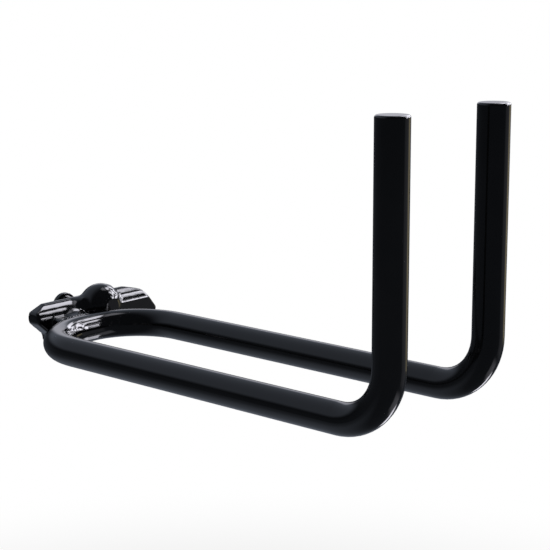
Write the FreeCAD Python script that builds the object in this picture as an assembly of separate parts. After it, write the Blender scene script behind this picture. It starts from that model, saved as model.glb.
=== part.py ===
"""Garage utility hook: a bent round bar, welded to a cast fitting that locks into a wall track.

Lengths are in millimetres. X runs along the track, +Y points into the wall and +Z points up.
The origin lies on the face that rests against the track, on the slot's centre line, in the
middle plane of the two arms.
"""
import FreeCAD, Part
import math
import os
from FreeCAD import Vector

# Bent bar
bar_diameter = 12.7
arm_spacing = 62.5
reach = 215.9
upright_height = 111.8
front_bend_radius = 22.6
back_bend_radius = 27.9
bar_end_round = 1.0

# Seat of the bar on the fitting
bar_drop = 5.7
bar_standoff = 13.0
seat_bite = 1.5
seat_width = 19.0
seat_top = -1.0
seat_bottom = 12.6
seat_round = 2.0
seat_blend = 2.4

# Weld runs
weld_size = 1.9
weld_length = 17.0

# Cast base
lock_offset = 21.2
left_wing = 38.2
right_wing = 38.0
base_depth = 7.5
wing_top = 4.9
wing_bottom = 9.4
tip_top = 1.9
tip_bottom = 2.8
tip_taper = 7.5
end_top = 2.6
end_taper = 9.0
end_rake = 9.6
end_round = 10.0
tip_round = 2.0
slope_back = 1.2
slope_foot = -1.2
slope_round = 1.6
slope_crown = 0.9
edge_round = 1.2

# Domed boss
boss_back_diameter = 15.2
boss_diameter = 20.0
boss_widest = 8.0
boss_height = 15.0
boss_face_diameter = 8.0
boss_rim_round = 2.0

# Collar that leads the wings up to the boss
collar_diameter = 17.5
collar_back = 2.5
collar_depth = 7.2
collar_sweep = 10.0
collar_round = 1.8

# Track studs
stud_pitch = 25.4
stud_neck_diameter = 9.2
stud_neck_length = 3.4
stud_head_diameter = 12.6
stud_head_thickness = 3.8
stud_head_chamfer = 1.4

# Locking plunger
plunger_travel = 2.8
plunger_diameter = 10.6
plunger_length = 8.9
plunger_clearance = 0.05
nose_diameter = 12.8
nose_length = 2.4
nose_chamfer = 0.7
nose_room = 0.2
cup_diameter = 6.8
cup_floor = 1.5
end_room = 0.1

# Spring
spring_wire = 0.8
spring_outer_diameter = 6.0
spring_turns = 6

# Finger pin and the barrel on its end
pin_diameter = 4.0
pin_setback = 6.2
pin_clearance = 0.05
pin_slot_room = 0.2
pin_tail = 3.2
grip_gap = 0.6
grip_diameter = 8.4
grip_length = 4.4
grip_round = 1.2

# Places worked out from the sizes above
bar_radius = bar_diameter / 2
bar_back_y = -(bar_standoff + bar_radius)
bore_end_y = -(plunger_length + plunger_travel + end_room)
grip_top_z = -boss_diameter / 2 - grip_gap
base_left_x = lock_offset - left_wing
base_right_x = lock_offset + right_wing
tiny = 1e-6
sharp_angle = 12.0


def cylinder_y(x, z, radius, y_from, y_to):
    """Cylinder along Y between two places."""
    return Part.makeCylinder(radius, y_to - y_from, Vector(x, y_from, z), Vector(0, 1, 0))


def revolved(profile, centre, axis):
    """Solid of revolution about an axis through centre; the profile is a closed list of points."""
    face = Part.Face(Part.makePolygon(profile + profile[:1]))
    return face.revolve(centre, axis, 360)


def turned_y(x, steps):
    """Turned solid about the Y axis at x; steps are pairs of radius and y, from one end to the other."""
    ends = [(0, steps[0][1])] + steps + [(0, steps[-1][1])]
    profile = [Vector(x + radius, y, 0) for radius, y in ends]
    return revolved(profile, Vector(x, 0, 0), Vector(0, 1, 0))


def extruded_y(outline, y_from, y_to):
    """Prism along Y over a closed outline of (x, z) points."""
    points = [Vector(x, y_from, z) for x, z in outline]
    face = Part.Face(Part.makePolygon(points + points[:1]))
    return face.extrude(Vector(0, y_to - y_from, 0))


def edges_along(shape, axis):
    """Straight edges of a shape that run along one axis."""
    straight = [e for e in shape.Edges if isinstance(e.Curve, Part.Line)]
    return [e for e in straight if abs(e.Curve.Direction.dot(axis)) > 1 - tiny]


def edges_at_y(shape, y):
    """Edges of a shape that lie in the plane at y."""
    boxes = [(e, e.BoundBox) for e in shape.Edges]
    return [e for e, box in boxes if abs(box.YMin - y) < tiny and abs(box.YMax - y) < tiny]


def bend(start, corner, end, radius):
    """Arc of the given radius that rounds a square corner, from the run before it to the run after it."""
    before = (start - corner).normalize()
    after = (end - corner).normalize()
    centre = corner + (before + after) * radius
    middle = centre - (before + after).normalize() * radius
    return Part.Arc(corner + before * radius, middle, corner + after * radius).toShape()


def hook_bar():
    """Round bar: two uprights, two arms and the bend at the back."""
    half = arm_spacing / 2
    top_z = upright_height - bar_drop
    corners = []
    for side in (-1, 1):
        run = [Vector(side * half, -reach, top_z), Vector(side * half, -reach, -bar_drop),
               Vector(side * half, bar_back_y, -bar_drop)]
        corners += run if side < 0 else run[::-1]
    radii = [front_bend_radius, back_bend_radius, back_bend_radius, front_bend_radius]
    edges = []
    place = corners[0]
    for index, radius in enumerate(radii):
        arc = bend(corners[index], corners[index + 1], corners[index + 2], radius)
        arc_start = arc.valueAt(arc.FirstParameter)
        edges += [Part.LineSegment(place, arc_start).toShape(), arc]
        place = arc.valueAt(arc.LastParameter)
    edges.append(Part.LineSegment(place, corners[-1]).toShape())
    section = Part.Wire(Part.Circle(corners[0], Vector(0, 0, -1), bar_radius).toShape())
    bar = Part.Wire(edges).makePipeShell([section], True, False)
    rims = [e for e in bar.Edges if abs(e.BoundBox.ZMin - top_z) < tiny]
    return bar.makeFillet(bar_end_round, rims)


def base_outline():
    """Plate with a tapered tip, a raked end and the seat's foot below it, as deep as the wings."""
    half_seat = seat_width / 2
    crest_x = base_right_x - end_rake - end_taper
    outline = [(base_left_x, -tip_bottom), (base_left_x, tip_top),
               (base_left_x + tip_taper, wing_top), (crest_x, wing_top),
               (base_right_x - end_rake, end_top), (base_right_x, -wing_bottom),
               (half_seat, -wing_bottom), (half_seat, -seat_bottom), (-half_seat, -seat_bottom),
               (-half_seat, -wing_bottom)]
    plate = extruded_y(outline, 0, -base_depth)
    crest = [e for e in edges_along(plate, Vector(0, 1, 0)) if abs(e.BoundBox.XMin - crest_x) < tiny]
    plate = plate.makeFillet(end_round, crest)
    corners = [e for e in edges_along(plate, Vector(0, 1, 0)) if abs(e.BoundBox.XMin - crest_x) > end_taper / 2]
    plate = plate.makeFillet(tip_round, [e for e in corners if abs(e.BoundBox.XMin) > half_seat + tiny])
    inner = [e for e in edges_along(plate, Vector(0, 1, 0)) if abs(e.BoundBox.ZMin + wing_bottom) < tiny]
    return plate.makeFillet(seat_blend, [e for e in inner if abs(e.BoundBox.XMin) < half_seat + tiny])


def wing_section():
    """Bar along X with the crowned slope that both wings have."""
    back_top, rim, foot, front_bottom, back_bottom = [
        Vector(base_left_x, y, z)
        for y, z in ((0, wing_top), (-slope_back, wing_top), (-base_depth, slope_foot),
                     (-base_depth, -seat_bottom), (0, -seat_bottom))]
    outward = (foot - rim).cross(Vector(1, 0, 0)).normalize()
    crown = (rim + foot) * 0.5 + outward * slope_crown
    sides = [Part.Arc(rim, crown, foot).toShape()]
    corners = [foot, front_bottom, back_bottom, back_top, rim]
    for start, end in zip(corners, corners[1:]):
        sides.append(Part.LineSegment(start, end).toShape())
    bar = Part.Face(Part.Wire(sides)).extrude(Vector(left_wing + right_wing, 0, 0))
    front = [e for e in edges_along(bar, Vector(1, 0, 0)) if e.BoundBox.ZMin > -seat_bottom + tiny]
    return bar.makeFillet(slope_round, [e for e in front if e.BoundBox.YMax < -tiny])


def sharp_edges(shape):
    """Edges in front of the back face where two faces meet at an angle."""
    found = []
    for edge in shape.Edges:
        middle = edge.valueAt((edge.FirstParameter + edge.LastParameter) / 2)
        faces = [face for face in shape.Faces if any(e.isSame(edge) for e in face.Edges)]
        normals = [face.normalAt(*face.Surface.parameter(middle)) for face in faces]
        in_front = edge.BoundBox.YMin < -tiny
        if in_front and math.degrees(normals[0].getAngle(normals[-1])) > sharp_angle:
            found.append(edge)
    return found


def wings():
    """Both wings in one plate, with rounded rims."""
    plate = base_outline().common(wing_section())
    return plate.makeFillet(edge_round, sharp_edges(plate))


def bar_seat(bar):
    """Block that stands out from the plate, with a saddle that the bar lies in."""
    front_y = -(bar_standoff + seat_bite)
    block = Part.makeBox(seat_width, -front_y, seat_bottom + seat_top,
                         Vector(-seat_width / 2, front_y, -seat_bottom))
    block = block.makeFillet(seat_round, edges_along(block, Vector(0, 1, 0)))
    return block.cut(bar)


def boss():
    """Domed housing of the plunger."""
    centre = Vector(lock_offset, 0, 0)
    front = Vector(lock_offset, -boss_height, 0)
    back_rim = centre - Vector(0, 0, boss_back_diameter / 2)
    widest = Vector(lock_offset, -boss_widest, -boss_diameter / 2)
    front_rim = front - Vector(0, 0, boss_face_diameter / 2)
    sides = [Part.Arc(back_rim, widest, front_rim).toShape()]
    for start, end in ((front_rim, front), (front, centre), (centre, back_rim)):
        sides.append(Part.LineSegment(start, end).toShape())
    dome = Part.Face(Part.Wire(sides)).revolve(centre, Vector(0, 1, 0), 360)
    return dome.makeFillet(boss_rim_round, edges_at_y(dome, -boss_height))


def stud(x):
    """Mushroom stud that slides under the lips of the track."""
    neck = stud_neck_diameter / 2
    head = stud_head_diameter / 2
    end_y = stud_neck_length + stud_head_thickness
    return turned_y(x, [(neck, -edge_round), (neck, stud_neck_length), (head, stud_neck_length),
                        (head, end_y - stud_head_chamfer), (head - stud_head_chamfer, end_y)])


def collar():
    """Raised web behind the boss, whose edge sweeps up from each wing's top edge."""
    radius = collar_diameter / 2
    sweep_z = wing_top + collar_sweep
    sweep_x = math.sqrt((radius + collar_sweep) ** 2 - sweep_z ** 2)
    centre = Vector(lock_offset, -collar_back, 0)
    top = centre + Vector(0, 0, radius)
    sides = []
    touches = []
    feet = []
    for side in (-1, 1):
        sweep_centre = centre + Vector(side * sweep_x, 0, sweep_z)
        foot = sweep_centre - Vector(0, 0, collar_sweep)
        touch = centre + (sweep_centre - centre).normalize() * radius
        middle = ((foot + touch) * 0.5 - sweep_centre).normalize() * collar_sweep + sweep_centre
        sides.append(Part.Arc(foot, middle, touch).toShape())
        touches.append(touch)
        feet.append(foot)
    sides.append(Part.Arc(touches[0], top, touches[1]).toShape())
    below = [foot - Vector(0, 0, wing_top - slope_foot) for foot in feet]
    for start, end in ((feet[0], below[0]), (below[0], below[1]), (below[1], feet[1])):
        sides.append(Part.LineSegment(start, end).toShape())
    web = Part.Face(Part.Wire(Part.__sortEdges__(sides))).extrude(Vector(0, collar_back - collar_depth, 0))
    front = [e for e in edges_at_y(web, -collar_depth) if e.BoundBox.ZMax > slope_foot + tiny]
    corners = [e for e in edges_along(web, Vector(0, 1, 0)) if abs(e.BoundBox.ZMin - wing_top) < tiny]
    return web.makeFillet(collar_round, front + corners)


def pin_slot():
    """Round-ended slot along Y that the finger pin moves in, from the bore down through the underside."""
    half = pin_diameter / 2 + pin_slot_room
    depth = -grip_top_z
    back_y = -pin_setback
    front_y = back_y - plunger_travel
    ends = [Part.makeCylinder(half, depth, Vector(lock_offset, y, -depth)) for y in (front_y, back_y)]
    middle = Part.makeBox(2 * half, plunger_travel, depth, Vector(lock_offset - half, front_y, -depth))
    return middle.fuse(ends)


def track_base(bar):
    """Casting that carries the bar and locks into the track."""
    studs = [stud(lock_offset + side * stud_pitch / 2) for side in (-1, 1)]
    base = wings().fuse([collar(), boss(), bar_seat(bar)] + studs)
    bore = cylinder_y(lock_offset, 0, plunger_diameter / 2 + plunger_clearance, bore_end_y, 0)
    pocket_end_y = -(plunger_travel + nose_room)
    nose_pocket = cylinder_y(lock_offset, 0, nose_diameter / 2 + nose_room, pocket_end_y, 0)
    return base.cut([bore, nose_pocket, pin_slot()]).removeSplitter()


def weld_bead(bar, base):
    """Weld runs in the corners between the bar and its seat, above and below."""
    seam_y = -(bar_standoff + seat_bite)
    seam_rise = math.sqrt(bar_radius ** 2 - (bar_radius - seat_bite) ** 2)
    runs = []
    for side in (-1, 1):
        start = Vector(-weld_length / 2, seam_y, -bar_drop + side * seam_rise)
        run = Part.makeCylinder(weld_size, weld_length, start, Vector(1, 0, 0))
        run = run.makeFillet(weld_size / 2, [e for e in run.Edges if isinstance(e.Curve, Part.Circle)])
        runs.append(run.cut([bar, base]))
    return Part.makeCompound([solid for run in runs for solid in run.Solids])


def lock_plunger():
    """Plunger with a wide nose that drops into a cut-out of the track, and a cup for the spring."""
    body = plunger_diameter / 2
    nose = nose_diameter / 2
    cup = cup_diameter / 2
    solid = turned_y(lock_offset, [(body, -plunger_length), (body, 0), (nose, 0),
                                   (nose, nose_length - nose_chamfer),
                                   (nose - nose_chamfer, nose_length)])
    solid = solid.cut(cylinder_y(lock_offset, 0, cup, -2 * plunger_length, -cup_floor))
    hole = Part.makeCylinder(pin_diameter / 2 + pin_clearance, plunger_diameter,
                             Vector(lock_offset, -pin_setback, -plunger_diameter))
    return solid.cut(hole)


def plunger_spring():
    """Coil spring between the cup's floor and the end of the bore."""
    coil_radius = (spring_outer_diameter - spring_wire) / 2
    length = -bore_end_y - cup_floor - spring_wire - 2 * plunger_clearance
    helix = Part.makeHelix(length / spring_turns, length, coil_radius)
    start = Vector(coil_radius, 0, 0)
    section = Part.Wire(Part.Circle(start, Vector(0, 1, 0), spring_wire / 2).toShape())
    coil = Part.Wire(helix).makePipeShell([section], True, True)
    coil.rotate(Vector(0, 0, 0), Vector(1, 0, 0), 90)
    coil.translate(Vector(lock_offset, -cup_floor - spring_wire / 2 - plunger_clearance, 0))
    return coil


def finger_pin():
    """Plain pin that joins the barrel to the plunger's underside."""
    top_z = -cup_diameter / 2 - pin_slot_room
    bottom_z = grip_top_z - pin_tail
    return Part.makeCylinder(pin_diameter / 2, top_z - bottom_z, Vector(lock_offset, -pin_setback, bottom_z))


def finger_grip():
    """Turned barrel on the end of the pin, below the boss, which a finger pulls to free the lock."""
    place = Vector(lock_offset, -pin_setback, grip_top_z - grip_length)
    barrel = Part.makeCylinder(grip_diameter / 2, grip_length, place)
    rims = [e for e in barrel.Edges if isinstance(e.Curve, Part.Circle)]
    barrel = barrel.makeFillet(grip_round, rims)
    depth = pin_tail + end_room
    hole = Part.makeCylinder(pin_diameter / 2 + pin_clearance, depth,
                             Vector(lock_offset, -pin_setback, grip_top_z - depth))
    return barrel.cut(hole)


def main():
    bar = hook_bar()
    base = track_base(bar)
    nodes = {
        "hook_bar": bar,
        "track_base": base,
        "weld_bead": weld_bead(bar, base),
        "lock_plunger": lock_plunger(),
        "plunger_spring": plunger_spring(),
        "finger_pin": finger_pin(),
        "finger_grip": finger_grip(),
    }
    os.makedirs("parts", exist_ok=True)
    for name, shape in nodes.items():
        shape.exportStep("parts/" + name + ".step")


main()
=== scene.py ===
"""Dresses the garage utility hook: camera, studio, finishes, cast fillets, weld ripples and the coil spring.

Lengths are in metres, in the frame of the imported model: X along the track, +Y into the wall, +Z up.
Directions are an azimuth, from +Y towards +X, and an elevation above the horizon, both in degrees.
"""
import bpy
import bmesh
import math
import numpy as np
from mathutils import Matrix, Vector


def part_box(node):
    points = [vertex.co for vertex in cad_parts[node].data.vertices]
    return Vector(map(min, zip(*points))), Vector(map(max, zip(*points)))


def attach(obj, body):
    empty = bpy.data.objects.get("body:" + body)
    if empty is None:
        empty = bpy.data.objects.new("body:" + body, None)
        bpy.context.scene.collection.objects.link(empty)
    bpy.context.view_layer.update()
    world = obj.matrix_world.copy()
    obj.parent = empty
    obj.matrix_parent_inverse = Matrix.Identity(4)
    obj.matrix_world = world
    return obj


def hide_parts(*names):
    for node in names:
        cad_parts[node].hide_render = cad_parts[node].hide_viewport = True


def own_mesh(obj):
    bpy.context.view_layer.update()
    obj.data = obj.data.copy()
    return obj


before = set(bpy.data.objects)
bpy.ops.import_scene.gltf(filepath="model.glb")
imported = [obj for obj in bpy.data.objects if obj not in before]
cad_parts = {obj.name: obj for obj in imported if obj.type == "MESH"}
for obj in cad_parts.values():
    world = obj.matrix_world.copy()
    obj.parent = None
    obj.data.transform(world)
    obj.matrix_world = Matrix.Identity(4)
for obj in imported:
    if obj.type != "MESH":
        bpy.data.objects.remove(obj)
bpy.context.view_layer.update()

scene = bpy.context.scene
scene.view_settings.view_transform = "Standard"
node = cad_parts

# Sizes shared with the solids
bar_radius = 0.00635
bar_axis_y = -0.01935
bar_axis_z = -0.0057
bend_start_x = 0.00335
bend_radius = 0.0279
seat_front_y = -0.0145
weld_size = 0.0019
weld_half_length = 0.0085
lock_x = 0.0212
cup_floor_y = -0.0015
bore_end_y = -0.0118
clearance = 0.00005
wire_radius = 0.0004
coil_radius = 0.0026
coil_turns = 6

# Camera that took the photograph
camera_place = Vector((-0.42988, -0.51355, 0.15357))
camera_forward = Vector((0.7349, 0.6471, -0.2030)).normalized()
camera_roll = math.radians(-0.23)
camera_lens = 95.75
sensor_width = 36.0
clip_start = 0.01

# Studio round the object
studio_centre = Vector((0.0, -0.1, 0.03))
world_grey = 0.45
floor_z = -0.26
floor_half_size = 8.0
floor_grey = 0.9
floor_fade = (0.15, 0.55)
floor_white_share = (0.25, 1.0)
key_azimuth = 110
key_elevation = 52
key_distance = 2.2
key_side = 1.4
key_radiance = 1.9

# Surroundings that the gloss mirrors: tints, and heights or depths of a unit direction with their radiance
shell_radius = 3.0
cool_tint = (0.86, 0.96, 1.16, 1)
white_tint = (0.96, 0.95, 1.04, 1)
warm_tint = (1, 0.85, 0.5, 1)
wall_side = (-0.1, 0.6)
wall_high = (0.10, 0.38)
wall_high_radiance = (0.0, 0.38)
wall_low = (-0.75, -0.30)
wall_low_radiance = (0.30, 0.0)
room_span = (-0.3, 0.3)
room_radiance = (0.085, 0.045)

# Window behind leaves: boxes of directions (azimuth from, to, elevation from, to) and radiance by azimuth
window_panes = ((61, 137, 8, 30), (61, 120, 30, 46))
window_soft = 2.0
window_span = (58, 128)
window_radiance = (4.0, 20.0)
leaf_scale = 6.5
leaf_span = (0.42, 0.60)

# Cards: box of directions, softness of the rim in degrees, and radiance
white_cards = (
    ((73, 98, 47, 56), 2.0, 10.0),
    ((114, 123, 38, 48), 1.5, 9.0),
    ((62, 110, 60, 76), 5.0, 1.8),
    ((56, 82, -6, 8), 3.0, 0.5),
    ((30, 58, 5, 24), 5.0, 0.9),
    ((78, 114, -51, -42), 2.0, 5.0),
    ((118, 165, -58, -38), 5.0, 0.6),
    ((114, 150, -30, 2), 5.0, 0.16),
)
warm_card = ((92, 114, -16, 0), 4.0, 0.8)

# Finishes
paint_dark = (0.0012, 0.0013, 0.0015, 1)
paint_light = (0.0026, 0.0028, 0.0032, 1)
paint_rubbed = (0.055, 0.054, 0.052, 1)
paint_ior = 1.5
grain_depth = 0.0000003
steel_dark = (0.42, 0.42, 0.43, 1)
steel_light = (0.58, 0.58, 0.59, 1)
ring_depth = 0.000006

# Cast fillets: mesh size, turns of smoothing, and ramps along X, Y and Z from no fill to full fill
voxel_size = 0.00034
smooth_turns = 4
fill_turns = 240
left_turns = 600
refresh_turns = 20
step_share = 0.5
fill_from_left = (-0.002, 0.006)
fill_from_right = (0.041, 0.036)
fill_from_below = (-0.0045, -0.0015)
fill_from_back = (-0.0004, -0.0012)
left_of_dome = (0.020, 0.014)

# Bore that the fillets leave open, and the room that its wall gives the plunger
bore_radius = 0.0070
bore_front_y = -0.0132
bore_room = 0.0002
bore_deep = (-0.006, -0.010)


def direction(azimuth, elevation):
    """Unit vector of a direction."""
    a = math.radians(azimuth)
    e = math.radians(elevation)
    return Vector((math.sin(a) * math.cos(e), math.cos(a) * math.cos(e), math.sin(e)))


def linked(name, data):
    """New object in the scene."""
    made = bpy.data.objects.new(name, data)
    scene.collection.objects.link(made)
    return made


def add_camera():
    """Camera at the photograph's place, with its lens and its slight roll."""
    data = bpy.data.cameras.new("photo_camera")
    data.sensor_width = sensor_width
    data.lens = camera_lens
    data.clip_start = clip_start
    camera = linked("photo_camera", data)
    right = camera_forward.cross(Vector((0, 0, 1))).normalized()
    down = camera_forward.cross(right)
    c = math.cos(camera_roll)
    s = math.sin(camera_roll)
    right, down = right * c - down * s, right * s + down * c
    axes = Matrix((right, -down, -camera_forward)).transposed().to_4x4()
    camera.matrix_world = Matrix.Translation(camera_place) @ axes
    scene.camera = camera


class Nodes:
    """Short ways to add and join shader nodes in one tree."""

    def __init__(self, owner):
        """Starts an empty tree in a material or a world."""
        owner.use_nodes = True
        self.tree = owner.node_tree
        self.tree.nodes.clear()

    def add(self, kind, **values):
        """New node; values are its properties, or its inputs by name with underscores for spaces."""
        made = self.tree.nodes.new(kind)
        for key, value in values.items():
            if hasattr(made, key):
                setattr(made, key, value)
            else:
                self.put(made.inputs[key.replace("_", " ")], value)
        return made

    def put(self, socket, value):
        """Joins a node's output to a socket, or sets the socket's value."""
        if isinstance(value, bpy.types.NodeSocket):
            self.tree.links.new(value, socket)
        else:
            socket.default_value = value

    def joined(self, kind, *values, **properties):
        """New node whose first inputs take the values in turn."""
        made = self.add(kind, **properties)
        for socket, value in zip(made.inputs, values):
            self.put(socket, value)
        return made

    def math(self, operation, *values):
        """Result of a sum on one or two numbers."""
        return self.joined("ShaderNodeMath", *values, operation=operation).outputs[0]

    def mapped(self, value, span, to=(0.0, 1.0), smooth=False):
        """Value stretched from one span to another, held at both ends."""
        made = self.add("ShaderNodeMapRange", Value=value,
                        From_Min=span[0], From_Max=span[1], To_Min=to[0], To_Max=to[1])
        made.interpolation_type = "SMOOTHSTEP" if smooth else "LINEAR"
        return made.outputs["Result"]

    def mixed(self, factor, a, b):
        """Blend of two colours."""
        made = self.add("ShaderNodeMix", data_type="RGBA")
        self.put(made.inputs[0], factor)
        self.put(made.inputs[6], a)
        self.put(made.inputs[7], b)
        return made.outputs[2]

    def noise(self, coords, scale, detail, rough=0.5):
        """Cloudy value, mostly between 0.3 and 0.7."""
        made = self.add("ShaderNodeTexNoise", Vector=coords, Scale=scale, Detail=detail, Roughness=rough)
        return made.outputs["Fac"]

    def bump(self, height, depth, **normal):
        """Relief whose full height range is depth metres, on top of another normal if one is given."""
        made = self.add("ShaderNodeBump", Strength=1.0, Distance=depth, Height=height, **normal)
        return made.outputs["Normal"]

    def rays(self, *names):
        """1 for the named kinds of ray, 0 for all others."""
        path = self.add("ShaderNodeLightPath")
        kinds = [path.outputs["Is " + name + " Ray"] for name in names]
        seen = kinds[0]
        for kind in kinds[1:]:
            seen = self.math("MAXIMUM", seen, kind)
        return seen

    def choice(self, factor, a, b):
        """Shader that goes from a to b."""
        return self.joined("ShaderNodeMixShader", factor, a.outputs[0], b.outputs[0])

    def end(self, shader, kind="ShaderNodeOutputMaterial"):
        """Makes a shader the tree's surface."""
        self.add(kind, Surface=shader.outputs[0])


def grey(value):
    """Neutral colour."""
    return (value, value, value, 1.0)


def add_world():
    """White behind the object, and a soft grey light from all round."""
    world = bpy.data.worlds.new("studio")
    scene.world = world
    n = Nodes(world)
    soft = n.add("ShaderNodeBackground", Color=grey(world_grey), Strength=1.0)
    white = n.add("ShaderNodeBackground", Color=grey(1.0), Strength=1.0)
    seen = n.rays("Camera", "Glossy", "Transmission")
    n.end(n.choice(seen, soft, white), "ShaderNodeOutputWorld")


def add_surround():
    """Shell that only the gloss mirrors: a dark room, a pale wall, a window behind leaves and a few cards."""
    mesh = bpy.data.meshes.new("surround")
    sphere = bmesh.new()
    bmesh.ops.create_uvsphere(sphere, u_segments=48, v_segments=24, radius=shell_radius)
    sphere.to_mesh(mesh)
    sphere.free()
    shell = linked("surround", mesh)
    shell.location = studio_centre
    shell.visible_camera = False
    shell.visible_diffuse = False
    shell.visible_shadow = False
    shell.visible_transmission = False
    material = bpy.data.materials.new("surround")
    n = Nodes(material)
    material.cycles.emission_sampling = "NONE"
    place = n.add("ShaderNodeTexCoord").outputs["Object"]
    unit = n.joined("ShaderNodeVectorMath", place, operation="NORMALIZE").outputs[0]
    x, y, z = n.joined("ShaderNodeSeparateXYZ", unit).outputs
    azimuth = n.math("MULTIPLY", n.math("ARCTAN2", x, y), 180 / math.pi)
    elevation = n.math("MULTIPLY", n.math("ARCSINE", z), 180 / math.pi)

    def card(box, soft, radiance):
        """Radiance inside a box of directions, 0 outside, soft at its rim."""
        glow = radiance
        for angle, start, stop in ((azimuth, *box[:2]), (elevation, *box[2:])):
            for rim, to in ((start, (0.0, 1.0)), (stop, (1.0, 0.0))):
                glow = n.math("MULTIPLY", n.mapped(angle, (rim - soft, rim + soft), to, True), glow)
        return glow

    above = n.mapped(z, wall_high, wall_high_radiance, True)
    below = n.mapped(z, wall_low, wall_low_radiance, True)
    wall = n.math("MULTIPLY", n.math("ADD", above, below), n.mapped(y, wall_side, smooth=True))
    cool = n.math("ADD", wall, n.mapped(z, room_span, room_radiance, True))

    leaves = n.mapped(n.noise(unit, leaf_scale, 1.0), leaf_span, smooth=True)
    panes = [card(box, window_soft, n.mapped(azimuth, window_span, window_radiance)) for box in window_panes]
    white = n.math("MULTIPLY", n.math("ADD", *panes), leaves)
    for values in white_cards:
        white = n.math("ADD", white, card(*values))

    glows = [n.add("ShaderNodeEmission", Color=tint, Strength=strength) for tint, strength in
             ((cool_tint, cool), (white_tint, white), (warm_tint, card(*warm_card)))]
    total = glows[0]
    for glow in glows[1:]:
        total = n.joined("ShaderNodeAddShader", total.outputs[0], glow.outputs[0])
    n.end(total)
    mesh.materials.append(material)


def add_floor():
    """Plain pale floor well below the object, white from a little way off."""
    mesh = bpy.data.meshes.new("floor")
    size = floor_half_size
    corners = [(-size, -size, 0), (size, -size, 0), (size, size, 0), (-size, size, 0)]
    mesh.from_pydata(corners, [], [(0, 1, 2, 3)])
    floor = linked("floor", mesh)
    floor.location = (studio_centre.x, studio_centre.y, floor_z)
    floor.visible_glossy = False
    material = bpy.data.materials.new("floor")
    n = Nodes(material)
    place = n.add("ShaderNodeTexCoord").outputs["Object"]
    away = n.joined("ShaderNodeVectorMath", place, operation="LENGTH").outputs["Value"]
    far = n.mapped(away, floor_fade, floor_white_share, True)
    pale = n.add("ShaderNodeBsdfDiffuse", Color=grey(floor_grey))
    white = n.add("ShaderNodeEmission", Color=grey(1.0), Strength=1.0)
    n.end(n.choice(n.math("MULTIPLY", far, n.rays("Camera", "Transmission")), pale, white))
    mesh.materials.append(material)


def add_key():
    """One large soft lamp, high on the right, which the gloss doesn't mirror."""
    data = bpy.data.lights.new("key", "AREA")
    data.shape = "RECTANGLE"
    data.size = key_side
    data.size_y = key_side
    data.energy = key_radiance * math.pi * key_side ** 2
    lamp = linked("key", data)
    out = direction(key_azimuth, key_elevation)
    lamp.location = studio_centre + key_distance * out
    lamp.rotation_mode = "QUATERNION"
    lamp.rotation_quaternion = out.to_track_quat("Z", "Y")
    lamp.visible_camera = False
    lamp.visible_glossy = False


def edge_mask(n, radius, span):
    """1 on sharp edges, 0 on open faces; span is the cosine between true and softened normal, flat to sharp."""
    soft = n.add("ShaderNodeBevel", samples=4, Radius=radius).outputs[0]
    true = n.add("ShaderNodeNewGeometry").outputs["Normal"]
    dot = n.joined("ShaderNodeVectorMath", soft, true, operation="DOT_PRODUCT")
    return n.mapped(dot.outputs["Value"], span)


def surface(name, **constants):
    """New material; constants go on the shader's own sockets."""
    material = bpy.data.materials.new(name)
    n = Nodes(material)
    shader = n.add("ShaderNodeBsdfPrincipled", **constants)
    n.end(shader)
    coords = n.add("ShaderNodeTexCoord").outputs["Object"]
    return material, n, shader.inputs, coords


def black_coat(name, gloss_range, wave_scale, wave_depth):
    """Gloss black paint: slow changes of tone and gloss, orange peel, fine grain and thin, rubbed edges."""
    material, n, sockets, coords = surface(name, IOR=paint_ior)
    blotch = n.noise(coords, scale=38.0, detail=4.0, rough=0.6)
    rub = n.noise(coords, scale=420.0, detail=3.0, rough=0.65)
    peel = n.noise(coords, scale=wave_scale, detail=2.0, rough=0.45)
    grain = n.noise(coords, scale=2600.0, detail=1.0)
    edge = edge_mask(n, radius=0.0006, span=(0.985, 0.90))
    worn = n.math("MULTIPLY", edge, n.mapped(rub, (0.50, 0.72), to=(0.0, 0.55)))
    body = n.mixed(n.mapped(blotch, (0.35, 0.65)), paint_dark, paint_light)
    n.put(sockets["Base Color"], n.mixed(worn, body, paint_rubbed))
    rough = n.mapped(blotch, (0.3, 0.7), to=gloss_range)
    n.put(sockets["Roughness"], n.math("ADD", rough, n.math("MULTIPLY", worn, 0.25)))
    n.put(sockets["Normal"], n.bump(grain, grain_depth, Normal=n.bump(peel, wave_depth)))
    return material


def turned_metal(name, dark, light, gloss_range, axis):
    """Turned metal with fine lathe rings along an axis, faint stains, and edges painted brighter as a
    highlight.
    """
    material, n, sockets, coords = surface(name, Metallic=1.0)
    stain = n.noise(coords, scale=330.0, detail=4.0, rough=0.6)
    edge = edge_mask(n, radius=0.0004, span=(0.98, 0.88))
    body = n.mixed(n.mapped(stain, (0.32, 0.68)), dark, light)
    # Painted highlight: the steel colour is made brighter on sharp edges.
    painted_edge_highlight = tuple(min(1.0, 1.5 * v) for v in light[:3]) + (1.0,)
    n.put(sockets["Base Color"], n.mixed(n.math("MULTIPLY", edge, 0.6), body, painted_edge_highlight))
    n.put(sockets["Roughness"], n.mapped(stain, (0.3, 0.7), to=gloss_range))
    rings = n.add("ShaderNodeTexWave", wave_type="BANDS", bands_direction=axis,
                  Vector=coords, Scale=1400.0, Distortion=0.6)
    n.put(sockets["Normal"], n.bump(rings.outputs["Fac"], ring_depth))
    return material


def dress(piece, material):
    """Gives a piece one material."""
    piece.data.materials.clear()
    piece.data.materials.append(material)


def eased(values, span):
    """0 at the span's start, 1 at its end, with a smooth rise between them."""
    t = np.clip((values - span[0]) / (span[1] - span[0]), 0.0, 1.0)
    return t * t * (3 - 2 * t)


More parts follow.
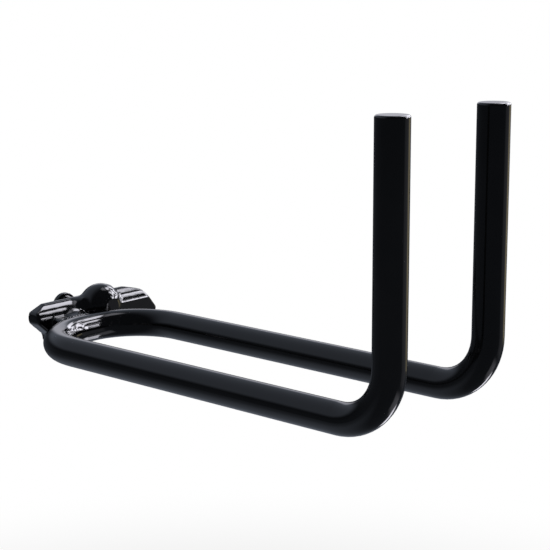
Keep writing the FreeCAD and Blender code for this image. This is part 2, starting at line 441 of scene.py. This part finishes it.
def cast_body(material):
    """Base with cast fillets: the solid's own surface, with the hollows round the dome filled smoothly.

    The fill only moves points outward. It runs longer left of the dome, where the wing sweeps up to it.
    """
    body = linked("cast_body", node["track_base"].data.copy())
    even = body.modifiers.new("even", "REMESH")
    even.mode = "VOXEL"
    even.voxel_size = voxel_size
    mesh = bpy.data.meshes.new_from_object(body.evaluated_get(bpy.context.evaluated_depsgraph_get()))
    body.modifiers.clear()
    body.data = mesh
    count = len(mesh.vertices)
    places = np.empty(count * 3)
    mesh.vertices.foreach_get("co", places)
    places = places.reshape(-1, 3)
    ends = np.empty(len(mesh.edges) * 2, dtype=np.int32)
    mesh.edges.foreach_get("vertices", ends)
    first = ends[0::2]
    second = ends[1::2]
    degree = np.bincount(ends, minlength=count)[:, None]

    def toward_neighbours(points):
        """Step from each point to the mean of its neighbours."""
        total = np.empty_like(points)
        for k in range(3):
            total[:, k] = np.bincount(first, points[second, k], count)
            total[:, k] += np.bincount(second, points[first, k], count)
        return total / degree - points

    def normals(points):
        """Moves the mesh to the points and gives its new normals."""
        mesh.vertices.foreach_set("co", points.ravel())
        mesh.update()
        found = np.empty(count * 3)
        mesh.vertices.foreach_get("normal", found)
        return found.reshape(-1, 3)

    from_axis = np.hypot(places[:, 0] - lock_x, places[:, 2])
    bore = ((from_axis < bore_radius) & (places[:, 1] > bore_front_y))[:, None]
    for turn in range(smooth_turns):
        places += step_share * toward_neighbours(places) * ~bore
    reach = eased(places[:, 0], fill_from_left) * eased(places[:, 0], fill_from_right)
    reach *= eased(places[:, 2], fill_from_below) * eased(places[:, 1], fill_from_back) * ~bore[:, 0]
    on_left = eased(places[:, 0], left_of_dome)
    for turn in range(fill_turns + left_turns):
        if turn == fill_turns:
            reach *= on_left
        if turn % refresh_turns == 0:
            facing = normals(places)
        step = toward_neighbours(places)
        outward = (step * facing).sum(axis=1) > 0
        places += step_share * step * (reach * outward)[:, None]
    deep = eased(places[:, 1], bore_deep)[:, None]
    places -= bore_room * (1 + deep) * normals(places) * bore
    low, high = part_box("track_base")
    normals(np.clip(places, low, high))
    mesh.shade_smooth()
    dress(body, material)
    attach(body, "hook")
    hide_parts("track_base")


def lofted(name, rings, material):
    """Closed smooth piece through a row of rings with the same number of points."""
    size = len(rings[0])
    last = (len(rings) - 1) * size
    faces = []
    for start in range(0, last, size):
        for k in range(size):
            a = start + k
            b = start + (k + 1) % size
            faces.append((a, b, b + size, a + size))
    faces.append(tuple(range(size))[::-1])
    faces.append(tuple(range(last, last + size)))
    mesh = bpy.data.meshes.new(name)
    mesh.from_pydata([point for ring in rings for point in ring], [], faces)
    fix = bmesh.new()
    fix.from_mesh(mesh)
    bmesh.ops.remove_doubles(fix, verts=fix.verts, dist=1e-7)
    bmesh.ops.recalc_face_normals(fix, faces=fix.faces)
    fix.to_mesh(mesh)
    fix.free()
    mesh.shade_smooth()
    piece = linked(name, mesh)
    dress(piece, material)
    return piece


def seam_rise(x):
    """Height of the seam between bar and seat above the bar's axis, where the bar curves away."""
    past = max(0.0, abs(x) - bend_start_x)
    sag = bend_radius - math.sqrt(bend_radius ** 2 - past ** 2)
    depth = bar_radius - (seat_front_y - (bar_axis_y - sag))
    return math.sqrt(bar_radius ** 2 - (bar_radius - depth) ** 2)


def weld_run(name, side, first, last, material):
    """Rippled weld run along the seam, above the bar (side 1) or below it (side -1).

    first and last are the angles, from +Y towards the outside, between which the run bulges.
    """
    rows = 180
    arc = 18
    ripple_pitch = 0.00165
    end_length = 0.0016
    root_y = seat_front_y + 0.0004
    root_drop = 0.0003
    rings = []
    for i in range(rows + 1):
        x = -weld_half_length + 2 * weld_half_length * i / rows
        close = min(1.0, (weld_half_length - abs(x)) / end_length)
        end = math.sqrt(max(0.0, 1 - (1 - close) ** 2))
        seam_z = bar_axis_z + side * seam_rise(x)
        lump = 0.05 * math.sin(610 * x + 1.3) + 0.04 * math.sin(1430 * x)
        ring = [(x, root_y, seam_z - side * root_drop)]
        for k in range(arc + 1):
            t = k / arc
            angle = math.radians(first + (last - first) * t)
            crown = math.sin(math.pi * t)
            bow = 0.32 * (2 * t - 1) ** 2
            sway = 0.08 * math.sin(900 * x)
            ripple = 0.5 + 0.5 * math.cos(2 * math.pi * (x / ripple_pitch + bow + sway))
            radius = weld_size * end * (0.93 + crown * (0.09 * ripple ** 1.6 - 0.05 + lump))
            ring.append((x, seat_front_y + radius * math.cos(angle), seam_z + side * radius * math.sin(angle)))
        rings.append(ring)
    run = lofted(name, rings, material)
    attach(run, "hook")
    return run


def coil_spring(material):
    """Coil spring in the plunger's bore."""
    back_y = cup_floor_y - wire_radius - clearance
    front_y = bore_end_y + wire_radius + clearance
    rows = 36 * coil_turns
    sides = 12
    pitch = (back_y - front_y) / coil_turns
    lean = math.atan2(pitch, 2 * math.pi * coil_radius)
    rings = []
    for i in range(rows + 1):
        t = i / rows
        a = 2 * math.pi * coil_turns * t
        outward = Vector((math.cos(a), 0, math.sin(a)))
        along = Vector((-math.sin(a) * math.cos(lean), -math.sin(lean), math.cos(a) * math.cos(lean)))
        across = along.cross(outward)
        centre = Vector((lock_x + coil_radius * math.cos(a), back_y + (front_y - back_y) * t,
                         coil_radius * math.sin(a)))
        angles = [2 * math.pi * k / sides for k in range(sides)]
        rings.append([centre + outward * (wire_radius * math.cos(b)) + across * (wire_radius * math.sin(b))
                      for b in angles])
    coil = lofted("coil_spring", rings, material)
    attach(coil, "hook")
    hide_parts("plunger_spring")
    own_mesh(coil)


def main():
    """Sets up the studio and dresses every piece."""
    add_camera()
    add_world()
    add_surround()
    add_floor()
    add_key()
    bar_coat = black_coat("bar_coat", gloss_range=(0.07, 0.12), wave_scale=300.0, wave_depth=0.000012)
    base_coat = black_coat("base_coat", gloss_range=(0.05, 0.10), wave_scale=170.0, wave_depth=0.00007)
    steel = turned_metal("bare_steel", steel_dark, steel_light, gloss_range=(0.22, 0.36), axis="Y")
    dress(node["hook_bar"], bar_coat)
    cast_body(base_coat)
    for name in ("lock_plunger", "finger_pin", "finger_grip"):
        dress(node[name], steel)
    upper = weld_run("weld_upper", 1, 8, 146, base_coat)
    weld_run("weld_lower", -1, 86, 146, base_coat)
    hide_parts("weld_bead")
    coil_spring(steel)


main()
